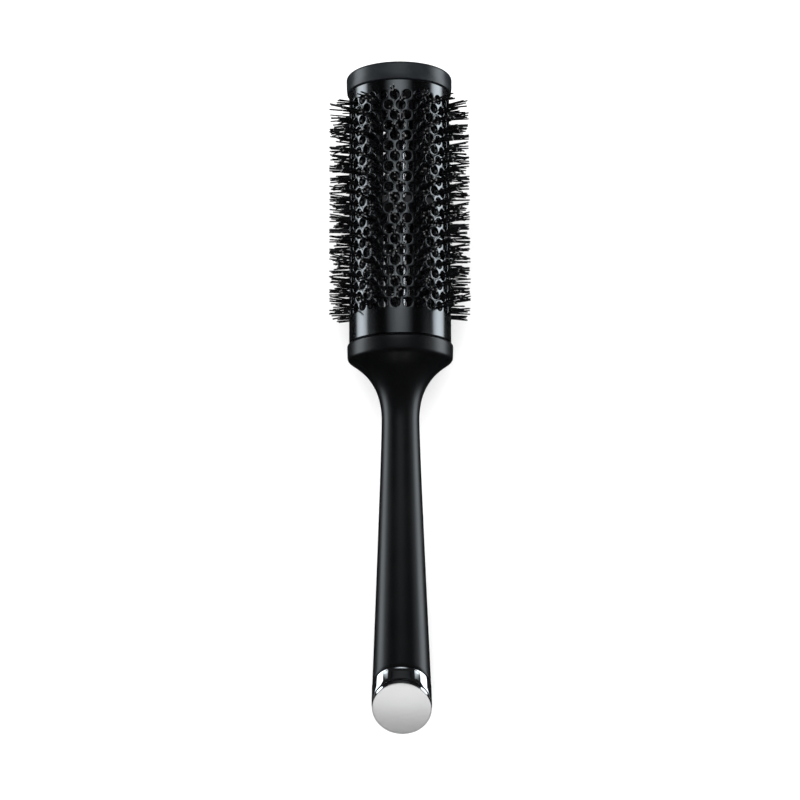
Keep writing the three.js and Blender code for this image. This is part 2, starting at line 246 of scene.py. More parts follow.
class Nodes:
    """A short way to write one material's node tree."""

    def __init__(self, name):
        self.material = bpy.data.materials.new(name)
        self.material.use_nodes = True
        self.tree = self.material.node_tree
        self.shader = self.tree.nodes["Principled BSDF"]
        # Patterns follow the brush's own axes, which lean in the row frame.
        to_brush = BRUSH.inverted()
        mapping = self.add("ShaderNodeMapping")
        mapping.inputs["Location"].default_value = to_brush.translation
        mapping.inputs["Rotation"].default_value = to_brush.to_euler()
        self.link(self.add("ShaderNodeTexCoord").outputs["Object"], mapping.inputs["Vector"])
        self.coordinates = mapping.outputs["Vector"]

    def add(self, kind):
        return self.tree.nodes.new(kind)

    def link(self, output, target):
        self.tree.links.new(output, target)

    def set(self, **values):
        for key, value in values.items():
            self.shader.inputs[key.replace("_", " ")].default_value = value

    def stretched(self, scale):
        """Coordinates for streaks: a small scale draws a pattern out along its axis."""
        mapping = self.add("ShaderNodeMapping")
        mapping.inputs["Scale"].default_value = scale
        self.link(self.coordinates, mapping.inputs["Vector"])
        return mapping.outputs["Vector"]

    def noise(self, scale, detail, vector=None):
        node = self.add("ShaderNodeTexNoise")
        node.inputs["Scale"].default_value = scale
        node.inputs["Detail"].default_value = detail
        self.link(vector or self.coordinates, node.inputs["Vector"])
        return node.outputs["Fac"]

    def two_tone(self, factor, dark, light, start=NOISE_LOW, end=NOISE_HIGH):
        """A colour that follows a pattern from dark to light."""
        node = self.add("ShaderNodeValToRGB")
        stops = ((start, dark), (end, light))
        for element, (position, colour) in zip(node.color_ramp.elements, stops):
            element.position = position
            element.color = (*colour, 1.0)
        self.link(factor, node.inputs["Fac"])
        return node.outputs["Color"]

    def span(self, factor, low, high):
        """A value that follows a pattern from low to high."""
        node = self.add("ShaderNodeMapRange")
        node.inputs["From Min"].default_value = NOISE_LOW
        node.inputs["From Max"].default_value = NOISE_HIGH
        node.inputs["To Min"].default_value = low
        node.inputs["To Max"].default_value = high
        self.link(factor, node.inputs["Value"])
        return node.outputs["Result"]

    def bump(self, height, distance, strength):
        node = self.add("ShaderNodeBump")
        node.inputs["Distance"].default_value = distance
        node.inputs["Strength"].default_value = strength
        self.link(height, node.inputs["Height"])
        return node.outputs["Normal"]

    def base(self, colour):
        self.link(colour, self.shader.inputs["Base Color"])

    def roughness(self, value):
        self.link(value, self.shader.inputs["Roughness"])

    def normal(self, value):
        self.link(value, self.shader.inputs["Normal"])


def coated_metal():
    """The barrel: dark gunmetal coating on polished aluminium, with very fine drawn streaks."""
    n = Nodes("coated_metal")
    n.set(Metallic=1.0, Coat_Weight=0.35, Coat_Roughness=0.14)
    cloud = n.noise(60.0, 4.0)
    streak = n.noise(1500.0, 2.0, vector=n.stretched((1.0, 0.01, 1.0)))
    n.base(n.two_tone(cloud, (0.128, 0.132, 0.134), (0.150, 0.154, 0.156)))
    n.roughness(n.span(streak, 0.15, 0.19))
    n.normal(n.bump(streak, 0.000004, 0.25))
    return n.material


def cap_plastic():
    """The cap: blue-black moulded plastic, satin, with a fine grain."""
    n = Nodes("cap_plastic")
    mottle = n.noise(220.0, 5.0)
    grain = n.noise(5200.0, 2.0)
    n.base(n.two_tone(mottle, (0.009, 0.011, 0.013), (0.013, 0.0155, 0.018)))
    n.roughness(n.span(mottle, 0.28, 0.34))
    n.normal(n.bump(grain, 0.00001, 0.4))
    return n.material


def soft_touch():
    """The handle: near black and smooth, with faint smudges."""
    n = Nodes("soft_touch")
    smudge = n.noise(45.0, 5.0)
    grain = n.noise(6500.0, 2.0)
    n.base(n.two_tone(smudge, (0.0010, 0.0011, 0.0014), (0.0020, 0.0021, 0.0025)))
    n.roughness(n.span(smudge, 0.30, 0.36))
    n.normal(n.bump(grain, 0.00001, 0.4))
    return n.material


def bristle_nylon():
    """Black nylon, a little uneven in its shine."""
    n = Nodes("bristle_nylon")
    shade = n.noise(700.0, 2.0)
    n.base(n.two_tone(shade, (0.0015, 0.0015, 0.0018), (0.0040, 0.0042, 0.0048)))
    n.roughness(n.span(shade, 0.20, 0.34))
    n.normal(n.bump(n.noise(9000.0, 1.0), 0.00001, 0.3))
    return n.material


def cut_tip_painted_glint():
    """The cut ends of the filaments: black to grey, a painted highlight that stands for the glint
    of the cut faces.
    """
    n = Nodes("cut_tip_painted_glint")
    shade = n.noise(1500.0, 2.0)
    # Painted highlight: the grey on some cut ends stands for their glint, so that they show as
    # bright dots.
    n.base(n.two_tone(shade, (0.01, 0.01, 0.01), (0.15, 0.15, 0.15), 0.35, 0.65))
    n.roughness(n.span(shade, 0.25, 0.45))
    return n.material


def inner_plastic():
    """Dark grey plastic with flow marks, for the parts inside."""
    n = Nodes("inner_plastic")
    flow = n.noise(300.0, 4.0)
    grain = n.noise(4000.0, 2.0)
    n.base(n.two_tone(flow, (0.012, 0.012, 0.013), (0.022, 0.022, 0.024)))
    n.roughness(n.span(flow, 0.45, 0.6))
    n.normal(n.bump(grain, 0.00003, 0.6))
    return n.material


def chrome():
    """Polished chrome, faintly smeared and not quite flat."""
    n = Nodes("chrome")
    n.set(Metallic=1.0)
    smear = n.noise(120.0, 5.0)
    n.base(n.two_tone(smear, (0.80, 0.81, 0.82), (0.88, 0.885, 0.89)))
    n.roughness(n.span(smear, 0.03, 0.08))
    n.normal(n.bump(n.noise(60.0, 2.0), 0.00004, 0.15))
    return n.material


def satin_metal():
    """Blasted aluminium: partly diffuse, with a faint brushed grain."""
    n = Nodes("satin_metal")
    n.set(Metallic=0.8)
    streak = n.noise(3200.0, 4.0, vector=n.stretched((0.05, 1.0, 1.0)))
    n.base(n.two_tone(streak, (0.78, 0.78, 0.785), (0.84, 0.84, 0.845)))
    n.roughness(n.span(streak, 0.19, 0.24))
    n.normal(n.bump(streak, 0.00001, 0.12))
    return n.material


def steel():
    """Zinc-plated steel, bright but a little cloudy."""
    n = Nodes("steel")
    n.set(Metallic=0.85)
    cloud = n.noise(400.0, 4.0)
    streak = n.noise(3000.0, 3.0, vector=n.stretched((1.0, 0.05, 1.0)))
    n.base(n.two_tone(cloud, (0.72, 0.73, 0.75), (0.84, 0.85, 0.87)))
    n.roughness(n.span(streak, 0.18, 0.32))
    n.normal(n.bump(streak, 0.00002, 0.12))
    return n.material


def brass():
    """Turned brass, unevenly tarnished."""
    n = Nodes("brass")
    n.set(Metallic=1.0)
    tarnish = n.noise(250.0, 5.0)
    turning = n.noise(2500.0, 2.0, vector=n.stretched((0.05, 1.0, 0.05)))
    n.base(n.two_tone(tarnish, (0.55, 0.36, 0.12), (0.76, 0.56, 0.24)))
    n.roughness(n.span(tarnish, 0.25, 0.42))
    n.normal(n.bump(turning, 0.00003, 0.5))
    return n.material


MATERIALS = {
    maker.__name__: maker()
    for maker in (
        coated_metal, cap_plastic, soft_touch, bristle_nylon, cut_tip_painted_glint,
        inner_plastic, chrome, satin_metal, steel, brass,
    )
}


# ---------------------------------------------------------------- mesh helpers


class Builder:
    """Collects vertices and faces in the brush's own axes and turns them into one piece."""

    def __init__(self):
        self.points = []
        self.faces = []
        self.slots = []

    def point(self, position):
        self.points.append(position)
        return len(self.points) - 1

    def face(self, corners, slot=0):
        self.faces.append(corners)
        self.slots.append(slot)

    def loop(self, positions):
        return [self.point(position) for position in positions]

    def bridge(self, low, high, slot=0):
        """Quads between two closed loops of the same length."""
        count = len(low)
        for i in range(count):
            j = (i + 1) % count
            self.face((low[i], low[j], high[j], high[i]), slot)

    def cover(self, loop, slot=0):
        self.face(tuple(loop), slot)

    def piece(self, name, materials, replaces, crease=40.0, bevel=0.0):
        mesh = bpy.data.meshes.new(name)
        mesh.from_pydata(self.points, [], self.faces)
        mesh.transform(BRUSH)
        mesh.polygons.foreach_set("material_index", self.slots)
        mesh.polygons.foreach_set("use_smooth", [True] * len(self.faces))
        finish_shape(mesh, bevel * MM)
        mesh.set_sharp_from_angle(angle=math.radians(crease))
        for material in materials:
            mesh.materials.append(MATERIALS[material])
        made = bpy.data.objects.new(name, mesh)
        bpy.context.scene.collection.objects.link(made)
        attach(made, "root")
        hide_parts(*replaces)


def finish_shape(mesh, bevel):
    """Faces the mesh outwards and rounds its sharp edges, where a bevel is given."""
    shape = bmesh.new()
    shape.from_mesh(mesh)
    bmesh.ops.recalc_face_normals(shape, faces=shape.faces)
    if bevel:
        sharp = [edge for edge in shape.edges if edge.calc_face_angle(0.0) > BEVEL_ANGLE]
        bmesh.ops.bevel(shape, geom=sharp, offset=bevel, segments=2, profile=0.6, affect="EDGES")
    shape.to_mesh(mesh)
    shape.free()


def turned(builder, outline, steps=ROUND):
    """A closed outline of (radius, y) turned about the axis; y may be a function of the angle."""
    loops = []
    for r, y in outline:
        positions = []
        for i in range(steps):
            angle = 2 * math.pi * i / steps
            positions.append(around(r, y(angle) if callable(y) else y, angle))
        loops.append(builder.loop(positions))
    for low, high in zip(loops, loops[1:] + loops[:1]):
        builder.bridge(low, high)


def rounded(outline, radius):
    """The outline with each corner cut by a small arc, so that edges catch the light."""
    smooth = []
    count = len(outline)
    for i in range(count):
        before, corner, after = (Vector(outline[(i + k) % count]) for k in (-1, 0, 1))
        into, out = before - corner, after - corner
        reach = min(radius, into.length * LONGEST_CORNER, out.length * LONGEST_CORNER)
        start, end = corner + into.normalized() * reach, corner + out.normalized() * reach
        for step in range(CORNER_STEPS + 1):
            t = step / CORNER_STEPS
            bent = start * (1 - t) ** 2 + corner * 2 * t * (1 - t) + end * t * t
            smooth.append((bent.x, bent.y))
    return smooth


def bezier(a, b, c, d):
    """Points along a cubic curve with corners a, b, c and d."""
    points = []
    for i in range(OUTLINE_STEPS + 1):
        t = i / OUTLINE_STEPS
        u = 1 - t
        points.append(tuple(
            u ** 3 * a[k] + 3 * u * u * t * b[k] + 3 * u * t * t * c[k] + t ** 3 * d[k]
            for k in (0, 1)
        ))
    return points


# ---------------------------------------------------------------- the barrel


def hole_centre(ring, hole):
    """Angle and y of one hole: every other ring is turned by half the holes' spacing."""
    shift = ZIGZAG_ANGLE if ring % 2 else -ZIGZAG_ANGLE
    return hole * HOLE_ANGLE + shift, FIRST_RING_Y + ring * RING_PITCH


def cell_edge():
    """The cell round a hole as steps of a square from -1 to 1, starting at a corner."""
    side = [-1 + 2 * i / CELL_STEPS for i in range(CELL_STEPS)]
    return (
        [(s, -1) for s in side] + [(1, s) for s in side]
        + [(-s, 1) for s in side] + [(-1, -s) for s in side]
    )


def barrel_skin(builder, wall_r, rims):
    """One side of the barrel's wall; returns the loops inside its holes and the one at each end."""
    corners = {}

    def on_wall(column, y):
        key = (column % (2 * CELL_STEPS * HOLES_ROUND), round(y, 4))
        if key not in corners:
            angle = column * HOLE_ANGLE / (2 * CELL_STEPS) - ZIGZAG_ANGLE
            corners[key] = builder.point(around(wall_r, y, angle))
        return corners[key]

    edge = cell_edge()
    mouths = []
    for ring in range(HOLE_RINGS):
        for hole in range(HOLES_ROUND):
            angle, y = hole_centre(ring, hole)
            middle = 2 * CELL_STEPS * hole + (CELL_STEPS if ring % 2 else 0)
            outer = []
            for across, along in edge:
                column = middle + round(across * CELL_STEPS)
                outer.append(on_wall(column, y + along * RING_PITCH / 2))
            for r, depth in rims:
                # Like the cell's edge, a rim starts at the corner that lies at -135 degrees.
                positions = []
                for step in range(len(edge)):
                    turn = 2 * math.pi * step / len(edge) - 3 * math.pi / 4
                    sideways = angle + r * math.cos(turn) / BARREL_R
                    positions.append(around(wall_r + depth, y + r * math.sin(turn), sideways))
                inner = builder.loop(positions)
                builder.bridge(outer, inner)
                outer = inner
            mouths.append(outer)
    low_y = FIRST_RING_Y - RING_PITCH / 2
    high_y = LAST_RING_Y + RING_PITCH / 2
    # Even rings, which are first and last, have their cells centred on even columns.
    ends = []
    for y in (low_y, high_y):
        ends.append([on_wall(column, y) for column in range(0, 2 * CELL_STEPS * HOLES_ROUND, 2)])
    return mouths, ends


def outer_rims():
    """Radius and depth of the loops over the rounded edge of a hole, outside the barrel."""
    rims = [(RIM_R, 0.0)]
    for step in range(1, RIM_STEPS + 1):
        turn = step / RIM_STEPS * math.pi / 2
        rim = RIM_R - (RIM_R - HOLE_R) * math.sin(turn)
        rims.append((rim, -RIM_DEPTH * (1 - math.cos(turn))))
    return rims


def close_barrel_end(builder, outer, inner, end_y, inwards):
    """Joins the wall's two sides at one end, over a small chamfer."""
    columns = len(outer)

    def level(r, y):
        angles = [i * 2 * math.pi / columns - ZIGZAG_ANGLE for i in range(columns)]
        return builder.loop([around(r, y, angle) for angle in angles])

    loops = [
        outer,
        level(BARREL_R, end_y + inwards * BARREL_EDGE),
        level(BARREL_R - BARREL_EDGE, end_y),
        level(BARREL_R - BARREL_WALL, end_y),
        inner,
    ]
    for low, high in zip(loops, loops[1:]):
        builder.bridge(low, high)


def build_barrel():
    b = Builder()
    outside, outer_ends = barrel_skin(b, BARREL_R, outer_rims())
    inside, inner_ends = barrel_skin(b, BARREL_R - BARREL_WALL, INNER_RIMS)
    for outer, inner in zip(outside, inside):
        b.bridge(outer, inner)
    close_barrel_end(b, outer_ends[0], inner_ends[0], BARREL_START_Y, 1)
    close_barrel_end(b, outer_ends[1], inner_ends[1], BARREL_END_Y, -1)
    b.piece("barrel", ["coated_metal"], ["barrel_tube"], crease=30)


# ---------------------------------------------------------------- the bristles


def axis_height(y):
    """Height of the brush's axis over the floor, in millimetres."""
    return (BRUSH @ Vector((0, y * MM, 0))).z / MM


def above_floor(angle, y, r):
    """The radius, cut back where a filament would reach through the floor."""
    down = -math.cos(angle)
    if down <= DOWNWARD:
        return r
    upright = BRUSH.to_3x3() @ Vector((0, 0, 1))
    return min(r, (axis_height(y) - FLOOR_GAP) / (down * upright.z))


def add_filament(builder, root, tip, radius, bow):
    """One nylon filament, a little bowed, with its cut end in the second material slot."""
    direction = (tip - root).normalized()
    aside = direction.cross(Vector((0, 1, 0.3))).normalized()
    other = direction.cross(aside)
    loops = []
    for t, width in FILAMENT_SHAPE:
        centre = root.lerp(tip, t) + aside * bow * 4 * t * (1 - t)
        positions = []
        for i in range(FILAMENT_SIDES):
            turn = 2 * math.pi * i / FILAMENT_SIDES
            spoke = aside * math.cos(turn) + other * math.sin(turn)
            positions.append(centre + spoke * radius * width)
        loops.append(builder.loop(positions))
    for low, high in zip(loops[:-2], loops[1:-1]):
        builder.bridge(low, high)
    builder.bridge(loops[-2], loops[-1], 1)
    builder.cover(loops[0][::-1])
    builder.cover(loops[-1], 1)


def add_tuft(builder, chance, angle, y):
    """A bundle of filaments that leaves the strip together, leans a little and splays."""
    lean_side = chance.gauss(0, TUFT_LEAN_SIDE)
    lean_along = chance.gauss(0, TUFT_LEAN_ALONG)
    for i in range(FILAMENTS):
        turn = 2 * math.pi * (i + chance.uniform(-TURN_SPREAD, TURN_SPREAD)) / FILAMENTS
        root_side, root_along = math.cos(turn) * TUFT_R, math.sin(turn) * TUFT_R
        splay = chance.uniform(*TUFT_SPLAY)
        stray_side = chance.gauss(0, TIP_SPREAD_SIDE)
        stray_along = chance.gauss(0, TIP_SPREAD_ALONG)
        tip_side = root_side + math.cos(turn) * splay + lean_side + stray_side
        tip_along = root_along + math.sin(turn) * splay + lean_along + stray_along
        tip_angle = angle + math.asin(tip_side / BRISTLE_R)
        # One filament of each tuft is nearly full length; the others are cut more or less short.
        shorter = LEAST_CUT if i == 1 else chance.uniform(0, MOST_CUT) ** 3
        tip_r = above_floor(tip_angle, y + tip_along, BRISTLE_R - shorter)
        root = around(SPINE_TOP_R - ROOT_DEPTH, y + root_along, angle + root_side / SPINE_TOP_R)
        tip = around(tip_r, y + tip_along, tip_angle)
        radius = FILAMENT_R * chance.uniform(*THICKNESS_SPREAD) * MM
        add_filament(builder, root, tip, radius, chance.gauss(0, FILAMENT_BOW) * MM)


def add_spine(builder, angle):
    """The strip's moulded base: a bar with its long edges rounded."""
    half = SPINE_WIDTH / 2
    section = rounded(
        [
            (-half, SPINE_BOTTOM_R), (half, SPINE_BOTTOM_R),
            (half, SPINE_TOP_R), (-half, SPINE_TOP_R),
        ],
        SPINE_EDGE_R,
    )
    turn = Matrix.Rotation(angle, 3, "Y")
    loops = []
    for y in (SPINE_START_Y, SPINE_END_Y):
        loops.append(builder.loop([turn @ (Vector((x, y, r)) * MM) for x, r in section]))
    builder.bridge(*loops)
    builder.cover(loops[0][::-1])
    builder.cover(loops[1])


def build_strip(strip):
    """One strip: its base and 21 tufts, which stand alternately to its two sides."""
    chance = random.Random(FIRST_SEED + strip)
    b = Builder()
    angle = strip * STRIP_ANGLE
    add_spine(b, angle)
    for ring in range(HOLE_RINGS):
        shift = ZIGZAG_ANGLE if ring % 2 else -ZIGZAG_ANGLE
        add_tuft(b, chance, angle + shift, FIRST_RING_Y + ring * RING_PITCH)
    number = f"{strip + 1:02d}"
    b.piece(f"bristles_{number}", ["bristle_nylon", "cut_tip_painted_glint"], [f"bristle_strip_{number}"])


# ---------------------------------------------------------------- the free end


def build_end_cap():
    edge = []
    for step in range(EDGE_STEPS + 1):
        turn = step / EDGE_STEPS * math.pi / 2
        edge.append((
            CAP_R - CAP_EDGE_R + CAP_EDGE_R * math.cos(turn),
            CAP_TOP_Y - CAP_EDGE_R + CAP_EDGE_R * math.sin(turn),
        ))
    foot = rounded([
        (LEDGE_R, LEDGE_TOP_Y), (LEDGE_R, CAP_START_Y), (SPIGOT_INNER_R, CAP_START_Y),
        (SPIGOT_INNER_R, SPIGOT_START_Y), (SPIGOT_R, SPIGOT_START_Y), (SPIGOT_R, CAP_START_Y),
        (CAP_R - CAP_FOOT_INSET, CAP_START_Y), (CAP_R, CAP_START_Y + CAP_TAPER),
    ], FOOT_EDGE_R)
    inner_edge = rounded([
        (CAP_R - CAP_EDGE_R - 1, CAP_TOP_Y), (CAP_MOUTH_R, CAP_TOP_Y), (CAP_MOUTH_R, LEDGE_TOP_Y),
    ], MOUTH_EDGE_R)
    b = Builder()
    # Left out: the points of the corners at which these three parts of the outline meet.
    turned(b, foot[3:-2] + edge + inner_edge[4:-3])
    b.piece("end_cap_ring", ["cap_plastic"], ["end_cap"])


def grille_spokes():
    """The disc's radial lines, as slot, side of it and share of the way from it to the next."""
    spokes = []
    for slot in range(GRILLE_SLOTS):
        spokes += [(slot, -1, 0.0), (slot, 1, 0.0)]
        spokes += [(slot, 1, step / SPOKE_STEPS) for step in range(1, SPOKE_STEPS)]
    return spokes


def grille_spot(r, spoke, y):
    slot, side, share = spoke
    middle = slot * 2 * math.pi / GRILLE_SLOTS
    pitch = 2 * math.pi / GRILLE_SLOTS
    half = math.asin(min(SLOT_HALF_WIDTH / r, WIDEST_SLOT))
    return around(r, y, middle + side * half + share * (pitch - 2 * half))


def build_grille():
    """The vented disc: a polar grid with the radial slots left out, doubled and walled."""
    spokes = grille_spokes()
    rows, count = len(GRILLE_RADII), len(spokes)
    b = Builder()
    low, high = (
        [[b.point(grille_spot(r, spoke, y)) for spoke in spokes] for r in GRILLE_RADII]
        for y in (GRILLE_START_Y, GRILLE_END_Y)
    )

    def wall(row, i, next_row, j):
        b.face((low[row][i], low[next_row][j], high[next_row][j], high[row][i]))

    for row in range(rows - 1):
        for i in range(count):
            j = (i + 1) % count
            if i % LINES_PER_SLOT == 0 and FIRST_OPEN <= row <= LAST_OPEN:
                wall(row, i, row + 1, i)
                wall(row, j, row + 1, j)
                continue
            b.face((low[row][i], low[row + 1][i], low[row + 1][j], low[row][j]))
            b.face((high[row][i], high[row][j], high[row + 1][j], high[row + 1][i]))
    for i in range(0, count, LINES_PER_SLOT):
        for row in (FIRST_OPEN, LAST_OPEN + 1):
            wall(row, i, row, i + 1)
    for row in (0, rows - 1):
        b.bridge(low[row], high[row])
    b.piece("vent_grille", ["inner_plastic"], ["end_grille"], bevel=SMALL_EDGE)


def build_washer():
    b = Builder()
    turned(b, rounded([
        (ROD_BORE_R, WASHER_START_Y), (WASHER_R, WASHER_START_Y),
        (WASHER_R, WASHER_END_Y), (ROD_BORE_R, WASHER_END_Y),
    ], SMALL_EDGE), steps=64)
    b.piece("washer", ["steel"], ["rod_washer"])


def build_nut():
    """A hexagon nut, its corners turned off to a cone on both faces."""
    apothem = NUT_R * math.cos(math.pi / 6) - NUT_SIDE_INSET
    face_r = apothem - NUT_FACE_INSET
    angles = [2 * math.pi * i / NUT_STEPS for i in range(NUT_STEPS)]
    b = Builder()

    def hexagon(angle):
        return apothem / math.cos((angle + math.pi / 6) % (math.pi / 3) - math.pi / 6)

    def corner_cut(angle):
        """How far the cone reaches down the side: further where the corner stands out."""
        return NUT_CUT_DEPTH + (hexagon(angle) - apothem) * NUT_CUT_SLOPE

    def level(r, y):
        return b.loop([around(r, y, angle) for angle in angles])

    def hexagon_level(face_y, inwards):
        return b.loop([
            around(hexagon(angle), face_y + inwards * corner_cut(angle), angle) for angle in angles
        ])

    loops = [
        level(ROD_BORE_R, NUT_START_Y + NUT_CHAMFER),
        level(ROD_BORE_R + NUT_CHAMFER, NUT_START_Y),
        level(face_r, NUT_START_Y),
        hexagon_level(NUT_START_Y, 1),
        hexagon_level(NUT_END_Y, -1),
        level(face_r, NUT_END_Y),
        level(ROD_BORE_R + NUT_CHAMFER, NUT_END_Y),
        level(ROD_BORE_R, NUT_END_Y - NUT_CHAMFER),
    ]
    for low, high in zip(loops, loops[1:] + loops[:1]):
        b.bridge(low, high)
    b.piece("nut", ["steel"], ["end_nut"], crease=25)


def build_rod():
    """The tie rod, with a rolled thread where the nut sits."""
    b = Builder()

    def level(r, y, depth=0.0):
        positions = []
        for i in range(ROD_STEPS):
            angle = 2 * math.pi * i / ROD_STEPS
            phase = (y / THREAD_PITCH - i / ROD_STEPS) % 1.0
            positions.append(around(r - depth * abs(2 * phase - 1), y, angle))
        return b.loop(positions)

    loops = [
        level(ROD_R - ROD_CHAMFER, ROD_START_Y),
        level(ROD_R, ROD_START_Y + ROD_CHAMFER),
        level(ROD_R, THREAD_START_Y),
    ]
    y = THREAD_START_Y + THREAD_RUN_IN
    while y < THREAD_LAST_Y:
        loops.append(level(ROD_R, y, THREAD_DEPTH))
        y += THREAD_PITCH / ROWS_PER_THREAD
    for inset, before_end in ROD_TIP:
        loops.append(level(ROD_R - inset, ROD_END_Y - before_end))
    for low, high in zip(loops, loops[1:]):
        b.bridge(low, high)
    b.cover(loops[0])
    b.cover(loops[-1])
    b.piece("rod", ["steel"], ["tie_rod"], crease=50)


# ---------------------------------------------------------------- the handle


def handle_outline():
    """(radius, y) down the handle, from under the collar to past the joint with the ferrule."""
    return bezier(*FLARE) + bezier(*GRIP)[1:]


def collar_outline():
    """The collar: a flat top, a rounded edge and a side that draws in towards the flare."""
    outline = [(COLLAR_BORE_R + 0.1, 0.0)]
    for step in range(EDGE_STEPS + 1):
        turn = step / EDGE_STEPS * math.pi / 2
        outline.append((
            COLLAR_R - COLLAR_EDGE_R + COLLAR_EDGE_R * math.sin(turn),
            COLLAR_EDGE_R * math.cos(turn) - COLLAR_EDGE_R,
        ))
    return outline + [(COLLAR_R - inset, y) for inset, y in COLLAR_SIDE]


def radius_at(outline, y):
    """The handle's radius at y, between the outline's points."""
    for (r0, y0), (r1, y1) in zip(outline, outline[1:]):
        if y1 <= y <= y0:
            return r0 + (r1 - r0) * (y0 - y) / (y0 - y1)
    return outline[-1][0]


def build_sleeve():
    """Collar, flare and grip in one moulding, hollow, ending at the slanted joint."""
    outline = handle_outline()
    joint = FERRULE_JOINT_Y + GAP
    b = Builder()
    loops = []

    def ring(r, y):
        loops.append(b.loop([around(r, y, 2 * math.pi * i / ROUND) for i in range(ROUND)]))

    def slanted_ring(share, inset):
        """A ring between SLEEVE_BEND_Y, where it is level, and the joint, where it is slanted."""
        positions = []
        for i in range(ROUND):
            angle = 2 * math.pi * i / ROUND
            end_y = joint + SLEEVE_END_R * math.cos(angle) * math.tan(FERRULE_JOINT_SLANT)
            y = SLEEVE_BEND_Y + (end_y - SLEEVE_BEND_Y) * share
            positions.append(around(radius_at(outline, y) - inset, y, angle))
        loops.append(b.loop(positions))

    level = [(r, y) for r, y in outline if y > SLEEVE_BEND_Y]
    for r, y in collar_outline() + level:
        ring(r, y)
    for row in range(SLEEVE_ROWS):
        slanted_ring(row / SLEEVE_ROWS, 0.0)
    for share, inset in SLEEVE_END:
        slanted_ring(share, inset)
    for r, y in level[::-2]:
        ring(r - SLEEVE_WALL, y)
    ring(COLLAR_BORE_R, COLLAR_BORE_END_Y)
    ring(COLLAR_BORE_R, -0.1)
    for low, high in zip(loops, loops[1:] + loops[:1]):
        b.bridge(low, high)
    b.piece("handle_grip", ["soft_touch"], ["handle_sleeve"], crease=50)


def build_ferrule():
    """The chrome tube between its slanted joint and the slanted end face, edges rounded."""
    outline = []

    def add_rows(rows, plane_y, slant, start):
        """Rows that follow a slanted plane's edge on the ferrule's outside, lifted from it."""
        def height(lift):
            return lambda angle: (
                plane_y + GRIP_END_R * math.cos(angle) * math.tan(slant) + (start + lift)
            )

        outline.extend((GRIP_END_R - inset, height(lift)) for inset, lift in rows)

    add_rows(FERRULE_JOINT_ROWS, FERRULE_JOINT_Y, FERRULE_JOINT_SLANT, 0.0)
    seat = (BADGE_THICKNESS + GAP) / math.cos(BADGE_SLANT)
    add_rows(FERRULE_SEAT_ROWS, BADGE_Y, BADGE_SLANT, seat)
    b = Builder()
    turned(b, outline, steps=160)
    b.piece("chrome_tip", ["chrome"], ["tip_ferrule"], crease=50)


def badge_profile():
    """Share of the disc's radius and lift over its plane, from its back to its middle."""
    back = BADGE_THICKNESS / math.cos(BADGE_SLANT)
    profile = [(1.0, back), (1.0, BADGE_SIDE_LIFT)]
    for step in range(BADGE_EDGE_STEPS + 1):
        turn = step / BADGE_EDGE_STEPS * math.pi / 2
        share = 1 - BADGE_EDGE / BADGE_R * (1 - math.cos(turn))
        profile.append((share, BADGE_DOME + BADGE_EDGE * (1 - math.sin(turn))))
    return profile + [(share, BADGE_DOME * share * share) for share in BADGE_SHARES]


def build_badge():
    """The plain satin disc on the slanted end: a polished edge and a very slightly domed face."""
    b = Builder()
    loops = []
    for share, lift in badge_profile():
        positions = []
        for i in range(ROUND):
            angle = 2 * math.pi * i / ROUND
            height = BADGE_R * share * math.cos(angle)
            y = BADGE_Y + lift + height * math.tan(BADGE_SLANT)
            positions.append(around(BADGE_R * share, y, angle))
        loops.append(b.loop(positions))
    for i, (low, high) in enumerate(zip(loops, loops[1:])):
        b.bridge(low, high, 1 if i < POLISHED_BANDS else 0)
    b.cover(loops[-1])
    b.cover(loops[0])
    b.piece("satin_badge", ["satin_metal", "chrome"], ["badge_disc"], crease=50)


# ---------------------------------------------------------------- carried-over CAD nodes

CARRIED = {
    "inner_plastic": [
        "rear_hub", "middle_hub", "front_hub", "heat_washer", "handle_core", "tip_plug",
    ],
    "brass": ["threaded_insert"],
}


def finish_carried_nodes():
    for material, names in CARRIED.items():
        for name in names:
            node = frame["nodes"][name]
            node.data.materials.clear()
            node.data.materials.append(MATERIALS[material])


# ---------------------------------------------------------------- stage, light and camera

FLOOR_REACH = 6.0
FLOOR_COLOUR = (0.94, 0.94, 0.94)
WHITE = (1.0, 1.0, 1.0)
WORLD_STRENGTH = 1.45
DARK = (0.012, 0.012, 0.013)  # what a reflection sees where there is no card
LAMP_POSITION = (0.0, -0.2, 1.8)
LAMP_SIZE = 3.0
LAMP_POWER = 24
COOL = (0.92, 1.0, 1.06)  # the cards' colour
CARD_COLUMNS = 12
# The card that the disc reflects, below the handle's tip.
BADGE_CARD_WIDTH = 300
BADGE_CARD_Y = -900
BADGE_CARD_LOW = -125
BADGE_CARD_HEIGHT = 107
BADGE_CARD_STEPS = 4
BADGE_CARD_STRENGTH = 1.2


def stage_material(name, colour):
    material = bpy.data.materials.new(name)
    material.use_nodes = True
    shader = material.node_tree.nodes["Principled BSDF"]
    shader.inputs["Base Color"].default_value = (*colour, 1.0)
    shader.inputs["Roughness"].default_value = 0.9
    shader.inputs["Specular IOR Level"].default_value = 0.1
    return material


def build_floor():
    r = FLOOR_REACH
    mesh = bpy.data.meshes.new("floor")
    mesh.from_pydata([(-r, -r, 0), (r, -r, 0), (r, r, 0), (-r, r, 0)], [], [(0, 1, 2, 3)])
    mesh.materials.append(stage_material("floor_paper", FLOOR_COLOUR))
    floor = bpy.data.objects.new("floor", mesh)
    bpy.context.scene.collection.objects.link(floor)
    floor.visible_glossy = False


